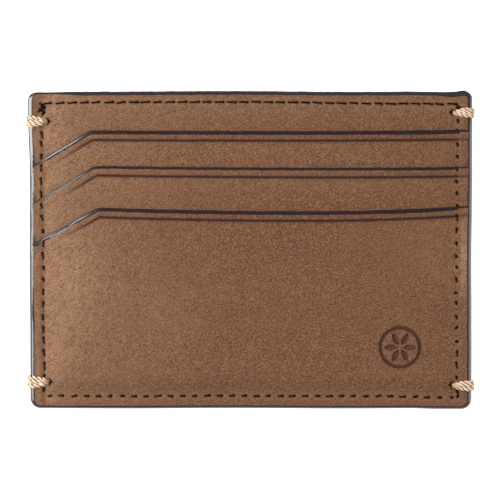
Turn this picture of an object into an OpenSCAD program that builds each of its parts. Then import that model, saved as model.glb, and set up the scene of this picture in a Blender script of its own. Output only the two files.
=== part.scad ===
// Flat leather card holder: two identical three-slot halves sewn back to back around a centre
// pocket. It lies on its back, front face up (+Z), with the pocket mouths towards +Y.
// Heights inside a half are measured from the plane between the two halves.

/* [Outline] */
// Width over the painted side edges
wallet_w = 101.6; // [99:0.2:108]
// Height from the bottom edge to the top edge
wallet_h = 72.4; // [70:0.2:78]
// Corner radius at the bottom
bottom_r = 2.4; // [1.5:0.1:4]
// Corner radius at the top
top_r = 1.8; // [1.2:0.1:3]
// How far the outermost layers are trimmed back to round the edge
edge_round = 1.1; // [0.4:0.1:1.2]

/* [Layers] */
// Leather thickness of the panels and the outermost pockets
panel_t = 0.65; // [0.5:0.05:0.8]
// Leather thickness of the two slot strips of each half
strip_t = 0.55; // [0.45:0.05:0.7]
// Thickness of the textile linings and backings
textile_t = 0.10; // [0.08:0.01:0.14]
// Thickness of the seam tapes, which is the room left for a card
tape_t = 0.12; // [0.10:0.01:0.20]
// Width of a seam tape, from the edge inwards
tape_w = 4.4; // [4:0.1:5]

/* [Card slots] */
// Height of the upper, middle and lower slot edge above the wallet's middle
slot_y = [27.3, 19.0, 9.4]; // [5:0.1:30]
// Where each slot edge starts to slant down to the left
shoulder_x = [-36.6, -35.7, -35.0]; // [-42:0.1:-28]
// How far each slanted stretch has fallen when it reaches the left edge
slant_drop = [8.5, 9.0, 8.8]; // [4:0.1:10]
// Hidden lower end of the upper and middle leather strips
strip_end_y = [-7, -9]; // [-9:0.5:0]
// Distance of the heat crease below each slot edge
crease_down = 2.2; // [1.2:0.1:2.4]
// How far below its slot edge a textile backing starts
backing_down = 8; // [5:0.5:10]

/* [Seams] */
// Length of one stitch
stitch = 2.8; // [2.4:0.1:3.2]
// Distance of the side seams from the side edges
side_inset = 3.2; // [2.8:0.1:3.6]
// Distance of the bottom seam from the bottom edge
bottom_inset = 2.8; // [2.6:0.1:3.4]
// Distance of the top seams from the top edge
top_inset = 2.4; // [2.2:0.1:3]
// Width of the sewing thread
thread_w = 0.45; // [0.3:0.05:0.5]
// Height of the upper and the lower card-stop seam
stop_y = [-19.2, -27.2]; // [-29:0.1:-18]

/* [Corner tacks] */
// Height of the top left, top right, bottom left and bottom right tack
tack_y = [29.5, 31.4, -30.1, -30.7]; // [-31:0.1:32]
// Width of a tack where it wraps round the edge
tack_w = 2.7; // [2:0.1:3.2]
// Distance of a tack's hole from the side edge
tack_reach = 4.5; // [4.3:0.1:5.5]
// Thickness of the tack cord on the leather
cord_t = 0.75; // [0.5:0.05:0.9]

/* [Stamp] */
// Centre of the stamped rosette on the front pocket
stamp_at = [34.4, -22.3]; // [-30:0.1:40]
// Radius of the ring round the rosette
stamp_r = 4.5; // [3:0.1:5]
// Number of leaves inside the ring
stamp_leaves = 6; // [4:1:8]

/* [Hidden] */
$fn = 48;

UPPER = 0;
MIDDLE = 1;
LOWER = 2;
LEFT = -1;
RIGHT = 1;

edge_x = wallet_w / 2;
edge_y = wallet_h / 2;

// Underside of each layer of a half, from the centre pocket outwards
lining_z = tape_t / 2;
panel_z = lining_z + textile_t;
tape_upper_z = panel_z + panel_t;
backing_upper_z = tape_upper_z + tape_t;
strip_upper_z = backing_upper_z + textile_t;
tape_middle_z = strip_upper_z + strip_t;
backing_middle_z = tape_middle_z + tape_t;
strip_middle_z = backing_middle_z + textile_t;
tape_lower_z = strip_middle_z + strip_t;
pocket_z = tape_lower_z + tape_t;
half_t = pocket_z + panel_t;

// The same undersides near the bottom seam, below the ends of the leather strips
low_tape_middle_z = strip_upper_z;
low_backing_middle_z = low_tape_middle_z + tape_t;
low_tape_lower_z = low_backing_middle_z + textile_t;
low_pocket_z = low_tape_lower_z + tape_t;

// Where the outer pocket, and the middle backing inside it, step down to that level
outer_bend = [-9.5, -16.5];
inner_bend = [-7.5, -13];

seam_x = edge_x - side_inset;
seam_bottom = bottom_inset - edge_y;
seam_top = edge_y - top_inset;
side_stitches = round((seam_top - seam_bottom) / stitch);
bottom_stitches = round(2 * seam_x / stitch);
// A card-stop seam ends a few stitches inside the side seams
stop_seam_x = seam_x - 2 * stitch;
stop_stitches = bottom_stitches - 4;

run_t = 0.28;
leg_w = 0.5;
groove_t = 0.34;
thread_sink = 0.03;
run_lead = 0.45;
play = 0.05;

crease_w = 0.4;
crease_t = 0.1;
tack_hole_r = 0.8;
tack_past_edge = 0.65;
tack_tip_w = 1.5;
stamp_line_w = 0.45;
stamp_t = 0.15;
leaf_l = 0.66 * stamp_r;
leaf_w = 0.27 * stamp_r;
// Distance of a leaf's middle from the rosette's centre
leaf_out = 0.48 * stamp_r;
through = 4 * half_t;

leather = [0.55, 0.41, 0.31];
textile = [0.20, 0.16, 0.14];
tape_colour = [0.28, 0.22, 0.18];
brown_thread = [0.23, 0.12, 0.10];
cream_cord = [0.90, 0.82, 0.68];

// ---- rules for places and heights ----

// How far a layer's outline is trimmed back so that the stack's edge is round
function trim(z, t) = edge_round * (1 - sqrt(1 - pow((z + t / 2) / (1.03 * half_t), 2)));

// Slope angle of a slot edge's slanted stretch
function slant(slot) = atan(slant_drop[slot] / (edge_x + shoulder_x[slot]));

// The shoulder of a slot edge, moved down square to the edge
function shoulder(slot, down) =
    [shoulder_x[slot] + down * tan(slant(slot) / 2), slot_y[slot] - down];

// Height of a slot edge, moved down square to itself, at a place across the wallet
function slot_edge(slot, down, x) =
    shoulder(slot, down)[1] - max(0, shoulder(slot, down)[0] - x) * tan(slant(slot));

// Height of a surface that steps from high to low across a bend
function bent(y, bend, high, low) =
    low + (high - low) * min(1, max(0, (y - bend[1]) / (bend[0] - bend[1])));

// Height of the leather that faces outwards at a place on a half
function face_z(x, y) =
    y > slot_edge(UPPER, 0, x) ? tape_upper_z :
    y > slot_edge(MIDDLE, 0, x) ? tape_middle_z :
    y > slot_edge(LOWER, 0, x) ? tape_lower_z :
    bent(y, outer_bend, pocket_z, low_pocket_z) + panel_t;

function holes(from, to, count) = [for (i = [0:count]) from + (to - from) * i / count];

side_holes = holes(seam_bottom, seam_top, side_stitches);
bottom_holes = holes(-seam_x, seam_x, bottom_stitches);
// The corner holes belong to the side seams
top_holes = holes(stitch - seam_x, seam_x - stitch, bottom_stitches - 2);
stop_holes = holes(-stop_seam_x, stop_seam_x, stop_stitches);

function side_levels(side) =
    [for (y = side_holes) min(face_z(side * seam_x, y - run_lead), face_z(side * seam_x, y + run_lead))];
function even_levels(at, z) = [for (x = at) z];

// ---- shapes shared by the layers ----

module outline(inset) {
    x = edge_x - inset;
    y = edge_y - inset;
    low_r = bottom_r - inset;
    high_r = top_r - inset;
    translate([-x, -y + low_r]) square([2 * x, 2 * y - low_r - high_r]);
    translate([-x + low_r, -y]) square([2 * (x - low_r), 2 * low_r]);
    translate([-x + high_r, y - 2 * high_r]) square([2 * (x - high_r), 2 * high_r]);
    for (side = [LEFT, RIGHT]) {
        translate([side * (x - low_r), -y + low_r]) circle(low_r);
        translate([side * (x - high_r), y - high_r]) circle(high_r);
    }
}

// The area below a slot edge that has been moved down, to a straight lower end
module below_slot(slot, down, end_y) {
    far = edge_x + 1;
    polygon([[-far, end_y], [far, end_y], [far, slot_y[slot] - down],
        shoulder(slot, down), [-far, slot_edge(slot, down, -far)]]);
}

// The two sides and the bottom, as far in as a seam tape reaches
module seam_margin() {
    difference() {
        square([2 * wallet_w, 2 * wallet_h], center = true);
        translate([tape_w - edge_x, tape_w - edge_y]) square([wallet_w - 2 * tape_w, wallet_h]);
    }
}

module slab(z, t) translate([0, 0, z]) linear_extrude(height = t) children();

// A sheet right across the wallet that steps down at a bend
module bent_sheet(bend, high, low, t) {
    top = edge_y + 1;
    rotate([90, 0, 90]) linear_extrude(height = wallet_w + 2, center = true)
        polygon([[top, high], [bend[0], high], [bend[1], low], [-top, low],
            [-top, low + t], [bend[1], low + t], [bend[0], high + t], [top, high + t]]);
}

// ---- sewing ----

// Underside of a thread seen from the side: its runs, and a leg down every hole
function comb_floor(at, levels, depth, leg, core) = [
    for (i = [len(at) - 1:-1:0]) each [
        [at[i] + leg / 2, levels[i] - depth], [at[i] + leg / 2, core],
        [at[i] - leg / 2, core], [at[i] - leg / 2, levels[i] - depth]]
];

// Top of a thread seen from the side: its runs, dipping a third of their depth at every hole
function comb_top(at, levels, depth) = [
    for (i = [0:len(at) - 1]) each [
        [at[i] - run_lead, levels[i] - thread_sink],
        [at[i], levels[i] - thread_sink - depth / 3],
        [at[i] + run_lead, levels[i] - thread_sink]]
];

module thread(at, levels, depth, core) {
    rotate([90, 0, 0]) linear_extrude(height = thread_w, center = true)
        polygon(concat(comb_top(at, levels, depth), comb_floor(at, levels, depth, leg_w, core)));
}

// The groove and holes that a thread needs, open upwards
module thread_way(at, levels, depth) {
    leg = leg_w + 2 * play;
    last = len(at) - 1;
    rotate([90, 0, 0]) linear_extrude(height = thread_w + 2 * play, center = true)
        polygon(concat(
            [[at[0] - leg / 2, half_t + 1], [at[last] + leg / 2, half_t + 1]],
            comb_floor(at, levels, depth, leg, -half_t / 4)));
}

module on_side(side) translate([side * seam_x, 0, 0]) rotate([0, 0, 90]) children();
module on_line(y) translate([0, y, 0]) children();

bottom_levels = even_levels(bottom_holes, face_z(0, seam_bottom));
top_levels = even_levels(top_holes, face_z(0, seam_top));

module side_seam_thread() {
    for (side = [LEFT, RIGHT])
        on_side(side) thread(side_holes, side_levels(side), run_t, 0);
    on_line(seam_bottom) thread(bottom_holes, bottom_levels, run_t, 0);
}

module side_seam_way() {
    for (side = [LEFT, RIGHT])
        on_side(side) thread_way(side_holes, side_levels(side), groove_t);
    on_line(seam_bottom) thread_way(bottom_holes, bottom_levels, groove_t);
}

module top_seam_way() on_line(seam_top) thread_way(top_holes, top_levels, groove_t);

// A card-stop thread's runs lie in the card room above its backing
function stop_levels(slot) =
    even_levels(stop_holes, tape_t + (slot == UPPER ? low_tape_middle_z : low_tape_lower_z));

module stop_seam_way(slot) on_line(stop_y[slot]) thread_way(stop_holes, stop_levels(slot), 0);

// ---- corner tacks ----

tack_side = [LEFT, RIGHT, LEFT, RIGHT];

// An awl leaves a diamond hole
module awl_hole(r) circle(r, $fn = 4);

module tack_holes()
    for (i = [0:3])
        translate([tack_side[i] * (edge_x - tack_reach), tack_y[i], -through / 2])
            linear_extrude(height = through) awl_hole(tack_hole_r);

// One whipped cord: a fan on each face, a wrap round the edge and a core in the hole
module tack(i) {
    level = face_z(tack_side[i] * seam_x, tack_y[i]);
    tip_x = edge_x - tack_reach - tack_hole_r;
    outer_z = level + cord_t;
    corner = 0.6;
    past = edge_x + tack_past_edge;
    color(cream_cord) translate([0, tack_y[i], half_t]) mirror([tack_side[i] < 0 ? 1 : 0, 0, 0]) {
        intersection() {
            rotate([90, 0, 0]) linear_extrude(height = 2 * tack_w, center = true) difference() {
                polygon([[tip_x, outer_z], [edge_x - corner, outer_z], [past, level - corner / 2],
                    [past, corner / 2 - level], [edge_x - corner, -outer_z], [tip_x, -outer_z]]);
                translate([0, -level]) square([edge_x, 2 * level]);
            }
            linear_extrude(height = through, center = true)
                polygon([[tip_x, -tack_tip_w / 2], [past, -tack_w / 2],
                    [past, tack_w / 2], [tip_x, tack_tip_w / 2]]);
        }
        translate([edge_x - tack_reach, 0, -level])
            linear_extrude(height = 2 * level) awl_hole(tack_hole_r - play);
    }
}

// ---- layers of one half ----

module sewn() {
    difference() {
        children();
        side_seam_way();
        tack_holes();
    }
}

module lining() {
    color(textile) sewn() difference() {
        slab(lining_z, textile_t) outline(trim(lining_z, textile_t));
        top_seam_way();
        stop_seam_way(UPPER);
        stop_seam_way(MIDDLE);
    }
}

module panel() {
    color(leather) sewn() difference() {
        slab(panel_z, panel_t) outline(trim(panel_z, panel_t));
        top_seam_way();
        stop_seam_way(UPPER);
        stop_seam_way(MIDDLE);
    }
}

// The crease pressed into the leather along a slot edge
module crease(slot, face) {
    slab(face - crease_t, 1) difference() {
        below_slot(slot, crease_down - crease_w / 2, strip_end_y[MIDDLE]);
        below_slot(slot, crease_down + crease_w / 2, strip_end_y[MIDDLE] - 1);
    }
}

module slot_strip(slot, z) {
    color(leather) sewn() difference() {
        slab(z, strip_t) intersection() {
            outline(trim(z, strip_t));
            below_slot(slot, 0, strip_end_y[slot]);
        }
        crease(slot, z + strip_t);
    }
}

module backing_upper() {
    color(textile) sewn() difference() {
        slab(backing_upper_z, textile_t) intersection() {
            outline(trim(backing_upper_z, textile_t));
            below_slot(UPPER, backing_down, -wallet_h);
        }
        stop_seam_way(UPPER);
        stop_seam_way(MIDDLE);
    }
}

module backing_middle() {
    color(textile) sewn() difference() {
        intersection() {
            bent_sheet(inner_bend, backing_middle_z, low_backing_middle_z, textile_t);
            slab(0, half_t) intersection() {
                outline(trim(backing_middle_z, textile_t));
                below_slot(MIDDLE, backing_down, -wallet_h);
            }
        }
        stop_seam_way(MIDDLE);
    }
}

// The outermost pocket, which steps down to the bottom seam below the strips
module outer_pocket() {
    intersection() {
        bent_sheet(outer_bend, pocket_z, low_pocket_z, panel_t);
        slab(0, half_t) intersection() {
            outline(trim(pocket_z, panel_t));
            below_slot(LOWER, 0, -wallet_h);
        }
    }
}

module pocket_lower() {
    color(leather) sewn() difference() {
        outer_pocket();
        crease(LOWER, half_t);
    }
}

// A leaf along X, pointed at both ends, between two arcs
module leaf() {
    r = (leaf_l * leaf_l + leaf_w * leaf_w) / (4 * leaf_w);
    intersection_for (side = [-1, 1]) translate([0, side * (r - leaf_w / 2)]) circle(r);
}

module stamp() {
    slab(low_pocket_z + panel_t - stamp_t, 1) translate(stamp_at) {
        difference() {
            circle(stamp_r + stamp_line_w / 2);
            circle(stamp_r - stamp_line_w / 2);
        }
        for (turn = [0:360 / stamp_leaves:359]) rotate(turn) translate([leaf_out, 0]) leaf();
    }
}

module seam_tape_upper() {
    color(tape_colour) sewn() slab(tape_upper_z, tape_t) intersection() {
        outline(trim(tape_upper_z, tape_t));
        below_slot(UPPER, 1, -wallet_h);
        seam_margin();
    }
}

module bent_tape(slot, bend, high, low) {
    color(tape_colour) sewn() intersection() {
        bent_sheet(bend, high, low, tape_t);
        slab(0, half_t) intersection() {
            outline(trim(high, tape_t));
            below_slot(slot, 1, -wallet_h);
            seam_margin();
        }
    }
}

module top_thread() {
    color(brown_thread) on_line(seam_top) thread(top_holes, top_levels, run_t, lining_z);
}

module stop_thread(slot) {
    color(brown_thread) on_line(stop_y[slot])
        thread(stop_holes, stop_levels(slot), tape_t, lining_z);
}

// ---- sub-parts in place ----

module front() translate([0, 0, half_t]) children();
module back() translate([0, 0, half_t]) rotate([0, 180, 0]) children();

module front_panel() front() panel();
module back_panel() back() panel();
module front_lining() front() lining();
module back_lining() back() lining();
module front_pocket_upper() front() slot_strip(UPPER, strip_upper_z);
module back_pocket_upper() back() slot_strip(UPPER, strip_upper_z);
module front_pocket_middle() front() slot_strip(MIDDLE, strip_middle_z);
module back_pocket_middle() back() slot_strip(MIDDLE, strip_middle_z);
module front_pocket_lower() color(leather) front() difference() {
    pocket_lower();
    stamp();
}
module back_pocket_lower() back() pocket_lower();
module front_backing_upper() front() backing_upper();
module back_backing_upper() back() backing_upper();
module front_backing_middle() front() backing_middle();
module back_backing_middle() back() backing_middle();
module centre_seam_tape() front() color(tape_colour) sewn() slab(-tape_t / 2, tape_t) intersection() {
    outline(0);
    seam_margin();
}
module front_seam_tape_upper() front() seam_tape_upper();
module back_seam_tape_upper() back() seam_tape_upper();
module front_seam_tape_middle() front()
    bent_tape(MIDDLE, inner_bend, tape_middle_z, low_tape_middle_z);
module back_seam_tape_middle() back()
    bent_tape(MIDDLE, inner_bend, tape_middle_z, low_tape_middle_z);
module front_seam_tape_lower() front()
    bent_tape(LOWER, outer_bend, tape_lower_z, low_tape_lower_z);
module back_seam_tape_lower() back()
    bent_tape(LOWER, outer_bend, tape_lower_z, low_tape_lower_z);
module front_top_thread() front() top_thread();
module back_top_thread() back() top_thread();
module side_seam_front_thread() color(brown_thread) front() side_seam_thread();
module side_seam_back_thread() color(brown_thread) back() side_seam_thread();
module front_stop_thread_upper() front() stop_thread(UPPER);
module front_stop_thread_lower() front() stop_thread(MIDDLE);
module back_stop_thread_upper() back() stop_thread(UPPER);
module back_stop_thread_lower() back() stop_thread(MIDDLE);
module tack_top_left() tack(0);
module tack_top_right() tack(1);
module tack_bottom_left() tack(2);
module tack_bottom_right() tack(3);

front_panel();
back_panel();
front_lining();
back_lining();
front_pocket_upper();
front_pocket_middle();
front_pocket_lower();
back_pocket_upper();
back_pocket_middle();
back_pocket_lower();
front_backing_upper();
front_backing_middle();
back_backing_upper();
back_backing_middle();
centre_seam_tape();
front_seam_tape_upper();
front_seam_tape_middle();
front_seam_tape_lower();
back_seam_tape_upper();
back_seam_tape_middle();
back_seam_tape_lower();
front_top_thread();
back_top_thread();
side_seam_front_thread();
side_seam_back_thread();
front_stop_thread_upper();
front_stop_thread_lower();
back_stop_thread_upper();
back_stop_thread_lower();
tack_top_left();
tack_top_right();
tack_bottom_left();
tack_bottom_right();
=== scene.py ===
"""A flat nubuck card holder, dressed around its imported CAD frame.

Two identical three-slot halves are sewn back to back. Shapes are worked out in millimetres in a
half's own coordinates: x across, y towards the pocket mouths, z out of the plane between the
halves. The back half is the front half turned 180 degrees about y.
"""

import math

import bpy
import numpy as np
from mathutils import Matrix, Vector, geometry, kdtree


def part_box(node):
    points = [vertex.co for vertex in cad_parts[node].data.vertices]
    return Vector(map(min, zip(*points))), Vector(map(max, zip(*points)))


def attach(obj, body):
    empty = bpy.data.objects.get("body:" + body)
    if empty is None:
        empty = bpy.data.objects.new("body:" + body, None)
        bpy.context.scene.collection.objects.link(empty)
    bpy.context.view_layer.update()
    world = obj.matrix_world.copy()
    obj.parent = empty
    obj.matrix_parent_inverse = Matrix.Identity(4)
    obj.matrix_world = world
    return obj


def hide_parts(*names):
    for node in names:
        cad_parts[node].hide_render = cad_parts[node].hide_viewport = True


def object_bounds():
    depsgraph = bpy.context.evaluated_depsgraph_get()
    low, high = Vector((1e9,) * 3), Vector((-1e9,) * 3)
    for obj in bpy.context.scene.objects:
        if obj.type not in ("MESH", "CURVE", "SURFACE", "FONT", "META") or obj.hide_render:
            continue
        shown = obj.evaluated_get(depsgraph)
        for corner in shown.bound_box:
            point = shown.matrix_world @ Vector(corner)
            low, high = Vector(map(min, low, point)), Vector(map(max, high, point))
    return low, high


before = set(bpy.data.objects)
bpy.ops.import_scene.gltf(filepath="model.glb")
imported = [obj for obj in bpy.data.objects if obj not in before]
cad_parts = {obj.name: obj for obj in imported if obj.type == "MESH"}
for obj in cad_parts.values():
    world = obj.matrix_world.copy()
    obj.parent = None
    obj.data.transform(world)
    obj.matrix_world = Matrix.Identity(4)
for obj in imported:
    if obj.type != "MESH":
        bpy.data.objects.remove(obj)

MM = 0.001
CAD_LOW, CAD_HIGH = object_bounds()
LEFT, RIGHT = -1, 1
UPPER, MIDDLE, LOWER = range(3)
SLOTS = ("upper", "middle", "lower")


def box_mm(node):
    low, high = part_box(node)
    return np.array(low) / MM, np.array(high) / MM


# ---- sizes from the frame ----

MID = (CAD_LOW[2] + CAD_HIGH[2]) / 2 / MM
EDGE_X, EDGE_Y, _ = box_mm("centre_seam_tape")[1]
SLOT_Y = [box_mm("front_pocket_" + name)[1][1] for name in SLOTS]
STRIP_END = [box_mm("front_pocket_" + name)[0][1] for name in SLOTS]


def levels(node):
    """Lowest and highest level of a front node above the plane between the halves."""
    low, high = box_mm("front_" + node)
    return low[2] - MID, high[2] - MID


LINING = levels("lining")
PANEL = levels("panel")
STRIPS = [levels("pocket_upper"), levels("pocket_middle")]
POCKET = levels("pocket_lower")
LEATHER_T = PANEL[1] - PANEL[0]
TEXTILE_T = LINING[1] - LINING[0]
TAPE_T = 2 * LINING[0]

# ---- sizes that the frame's boxes don't say ----

# Where the slant of each slot begins, and how far it drops to the left edge
SHOULDER_X = (-36.6, -35.7, -35.0)
SLANT_DROP = (8.5, 9.0, 8.8)
SLOPE = [drop / (EDGE_X + x) for drop, x in zip(SLANT_DROP, SHOULDER_X)]
SHOULDER_ROUND = 0.6
CREASE_ROUND = 0.2
# How a slot edge sags: where it is lowest, by how much, and its rise to the left and to the right
SLOT_BOWS = ((5, 0.15, 0.2, 0.3), (20, 0.2, 0.45, 0.25), (13, 0.5, 0.85, 1.3))
# How far below a slot edge its heat crease runs, and the textile behind it begins
CREASE_DOWN = 2.2
CREASE_DEPTH = 0.13
BACKING_DOWN = 8
# Between which heights the outer pocket steps down, and the layers under it
OUTER_BEND = (-9.5, -18.5)
INNER_BEND = (-7.5, -13)
BOTTOM_R = 2.4
TOP_R = 1.8
TAPE_W = 4.4

STITCH = 2.8
SIDE_INSET = 3.2
SEAM_X = EDGE_X - SIDE_INSET
SEAM_BOTTOM = 2.8 - EDGE_Y
SEAM_TOP = EDGE_Y - 2.4
SIDE_STITCHES = round((SEAM_TOP - SEAM_BOTTOM) / STITCH)
BOTTOM_STITCHES = round(2 * SEAM_X / STITCH)
STOP_Y = {"upper": -19.2, "lower": -27.2}
STOP_X = SEAM_X - 2 * STITCH
THREAD_R = 0.15
TOP_THREAD_R = 0.17

# The edge paint: its reach in over the faces, its rounding and how proud its lip stands
COAT_SIDE = 1.1
COAT_BOTTOM = 0.8
COAT_ROUND = 1.15
COAT_LIP = 0.05
# How far the layers run in under the coat, and a layer under the paint on its own edge
TUCK = 0.12
LAP = 0.08
BEAD_W = (0.86, 0.62, 0.84)

TACKS = {"top_left": LEFT, "top_right": RIGHT, "bottom_left": LEFT, "bottom_right": RIGHT}
TACK_HOLE_X = EDGE_X - 4.5
HOLE_DEPTH = 0.5
CORD_R = 0.45
# How far apart a tack's three cords lie at the edge, and how high each lies at the hole
CORD_SPREAD = {LEFT: (-0.82, 0.0, 0.82), RIGHT: (-0.78, -0.1, 0.56)}
CORD_LIFT = (0.0, 0.22, 0.06)

STAMP_AT = (34.4, -22.3)
STAMP_R = 4.5
STAMP_LEAVES = 6
STAMP_LINE = 0.5
STAMP_DEPTH = 0.4
LEAF_L, LEAF_W = 0.66 * STAMP_R, 0.27 * STAMP_R
LEAF_OUT = 0.48 * STAMP_R


# ---- rules for the shape of a half ----

def smooth(t):
    t = np.clip(t, 0, 1)
    return t * t * (3 - 2 * t)


def bell(distance, width):
    return np.exp(-(distance / width) ** 2)


def slot_line(slot, x, down=0):
    """Height of a slot edge that has been moved down square to itself."""
    low_x, dip, left, right = SLOT_BOWS[slot]
    bow = (left * np.clip((low_x - x) / (low_x - SHOULDER_X[slot]), 0, 1) ** 2
           + right * np.clip((x - low_x) / (EDGE_X - low_x), 0, 1) ** 2 - dip)
    past = SHOULDER_X[slot] + down * math.tan(math.atan(SLOPE[slot]) / 2) - x
    corner = CREASE_ROUND if down else SHOULDER_ROUND
    return SLOT_Y[slot] + bow - down - SLOPE[slot] * (past + np.hypot(past, corner)) / 2


def slot_slope(slot, x, down=0):
    step = 0.05
    return (slot_line(slot, x + step, down) - slot_line(slot, x - step, down)) / (2 * step)


def below(slot, x, y, down=0):
    """Distance below a slot edge, square to it."""
    return (slot_line(slot, x, down) - y) / np.hypot(1, slot_slope(slot, x, down))


def stepping(y, bend, high, low):
    """A level that steps down smoothly across a bend."""
    return low + (high - low) * smooth((y - bend[1]) / (bend[0] - bend[1]))


def pocket_top(y):
    return stepping(y, OUTER_BEND, POCKET[1], POCKET[0] + LEATHER_T)


def face_level(x, y):
    """Level of the leather that faces outwards."""
    level = pocket_top(y)
    for slot, top in ((LOWER, STRIPS[MIDDLE][1]), (MIDDLE, STRIPS[UPPER][1]), (UPPER, PANEL[1])):
        level = np.where(y > slot_line(slot, x), top, level)
    return level


def settle(x, y, z):
    """A level's height in the sewn stack, which is pinched at its seams and never quite flat."""
    rim = np.minimum(EDGE_X - np.abs(x), EDGE_Y + y)
    pinch = 0.13 * (1 - smooth((rim - SIDE_INSET) / 8))
    waves = 0.5 + 0.25 * np.sin(x / 8.5 + y / 21 + 0.6) + 0.25 * np.sin(y / 6.2 - x / 17)
    return z * (1 - pinch - 0.035 * waves)


def face_height(x, y):
    return settle(x, y, face_level(x, y))


def even_height(x, y, reach=0.6):
    """Height of the face, evened out over a short way up and down."""
    return np.mean([face_height(x, y + reach * share) for share in np.linspace(-1, 1, 13)], axis=0)


def wander(x, y):
    """How the finished wallet strays from its pattern, seen from above."""
    upper, lower = smooth((y - 28) / 7), smooth((-y - 26) / 9)
    left_lean = (0.34 - 0.36 * smooth((y - 18) / 14)) * smooth((-x - 20) / 28)
    right_lean = (0.05 - 0.24 * bell(y + 2, 13)) * smooth((x - 20) / 28)
    droop = -0.25 * bell(x + EDGE_X, 9) * smooth((y - 18) / 16)
    hump = (0.25 * bell(x - 48.6, 1.3) - 0.16 * bell(x - 44.5, 4) + 0.09 * bell(x + 14, 28)) * upper
    sag = -(0.28 + 0.2 * smooth((x - 36) / 8)) * lower
    heave = 0.05 * np.sin(x / 8 + 2) * np.abs(y / EDGE_Y) ** 4
    return x + (left_lean + right_lean), y + droop + hump + sag + heave


def rim_width(x):
    """Width of the paint on a panel's top edge."""
    return 0.5 + 0.38 * smooth((x + 46) / 8) + 0.35 * smooth((x - 41) / 7)


def bead_width(slot, x):
    """Width of the paint on a slot edge. It thins past the seams, and pools at the lowest's left end."""
    inner = smooth((SEAM_X + 0.2 - np.abs(x)) / 1.2)
    pool = 0.5 * bell(x + EDGE_X - 1.6, 1.1) if slot == LOWER else 0
    return BEAD_W[slot] * (0.5 + 0.5 * inner) + 0.08 * bell(x - 38, 7) + pool


# ---- the outline ----

def arc(centre_x, centre_y, radius, start, end, count):
    turns = np.radians(np.linspace(start, end, count))
    normals = np.stack([np.cos(turns), np.sin(turns)], 1)
    return np.array([centre_x, centre_y]) + radius * normals, normals


def straight(a, b, normal, step):
    count = max(2, int(math.dist(a, b) / step) + 1)
    share = np.linspace(0, 1, count)[1:-1, None]
    line = np.array(a) * (1 - share) + np.array(b) * share
    return line, np.tile(np.array(normal, float), (len(line), 1))


def outline(step):
    """Points and outward normals from the top edge's left end, round by the bottom, to its right end."""
    high_x, high_y = EDGE_X - TOP_R, EDGE_Y - TOP_R
    low_x, low_y = EDGE_X - BOTTOM_R, EDGE_Y - BOTTOM_R
    parts = [
        arc(-high_x, high_y, TOP_R, 90, 180, 10),
        straight((-EDGE_X, high_y), (-EDGE_X, -low_y), (-1, 0), step),
        arc(-low_x, -low_y, BOTTOM_R, 180, 270, 14),
        straight((-low_x, -EDGE_Y), (low_x, -EDGE_Y), (0, -1), step),
        arc(low_x, -low_y, BOTTOM_R, 270, 360, 14),
        straight((EDGE_X, -low_y), (EDGE_X, high_y), (1, 0), step),
        arc(high_x, high_y, TOP_R, 0, 90, 10),
    ]
    return tuple(np.vstack(column) for column in zip(*parts))


def coat_width(points, normals):
    """How far the edge paint reaches in over the faces."""
    across, up = np.abs(normals[:, 0]), normals[:, 1]
    end = np.where(up > 0, rim_width(points[:, 0]), COAT_BOTTOM)
    return end + (COAT_SIDE - end) * across ** 1.5


def layer_loop(edge, step, floor=None):
    """The outline of a layer inside the edge paint: below edge(x), and above floor if it is given."""
    points, normals = outline(step)
    rim = points - normals * (coat_width(points, normals) - TUCK)[:, None]
    rim = rim[rim[:, 1] < edge(rim[:, 0]) - 0.2]
    if floor is None:
        around = [rim]
    else:
        rim = rim[rim[:, 1] > floor + 0.2]
        left, right = rim[rim[:, 0] < 0], rim[rim[:, 0] > 0]
        across = np.arange(left[-1, 0], right[0, 0], step)
        around = [left, np.stack([across, np.full(len(across), floor)], 1), right]
    first, last = around[0][0, 0], around[-1][-1, 0]
    back = np.arange(last, first, -step)
    return np.vstack(around + [np.stack([back, edge(back)], 1)])


# ---- sewing ----

def seam_x(side, y, turn):
    """Where a side seam runs. It drifts on its way down, and not alike at the left and right."""
    if side * turn == LEFT:
        drift = 0.6 * bell(y - 17, 9) - 0.08
    else:
        drift = -0.12 - 0.18 * smooth((31 - y) / 14)
    foot = 0.3 * smooth((-31 - y) / 2)
    return side * (SEAM_X + drift + foot + 0.07 * np.sin(y / 4.3 + side * turn))


def side_holes(side, turn):
    y = np.linspace(SEAM_BOTTOM, SEAM_TOP, SIDE_STITCHES + 1)
    return np.stack([seam_x(side, y, turn), y], 1)


def level_holes(y, reach, count):
    x = np.linspace(-reach, reach, count + 1)
    return np.stack([x, np.full(count + 1, y)], 1)


def top_seam_y(x):
    """The top seam runs a little low at its ends, most of all at the right one."""
    return SEAM_TOP - 0.12 - 0.15 * bell(x + SEAM_X, 6) - 0.3 * smooth((x - 5) / 35)


# Stitches made by hand where the seams meet at the corners, as seen from the front
CORNER_STITCHES = (
    (-48.0, 33.7, -46.9, 32.8),
    (-46.9, 32.9, -48.2, 31.8),
    (-48.1, 32.4, -47.0, 31.5),
    (-46.8, 32.6, -47.3, 31.2),
    (47.1, 33.3, 48.1, 32.2),
    (47.6, -32.3, 47.6, -33.3),
)


def shown_stitches(holes, lead, tail, tilt, loose, dice):
    """Rows of x0, y0, x1, y1: where each stitch between two holes comes up and goes down."""
    start, run = holes[:-1], holes[1:] - holes[:-1]
    across = np.stack([-run[:, 1], run[:, 0]], 1)
    tip = np.reshape(np.tan(np.radians(tilt)) / 2, (-1, 1))
    a = start + run * lead - across * tip
    b = start + run * (1 - tail) + across * tip
    stray = np.clip(dice.normal(0, loose, (len(run), 4)), -2.5 * loose, 2.5 * loose)
    more_along = np.where(np.abs(run) > 1, 2.2, 0.7)
    return np.hstack([a, b]) + stray * np.hstack([more_along, more_along])


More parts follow.
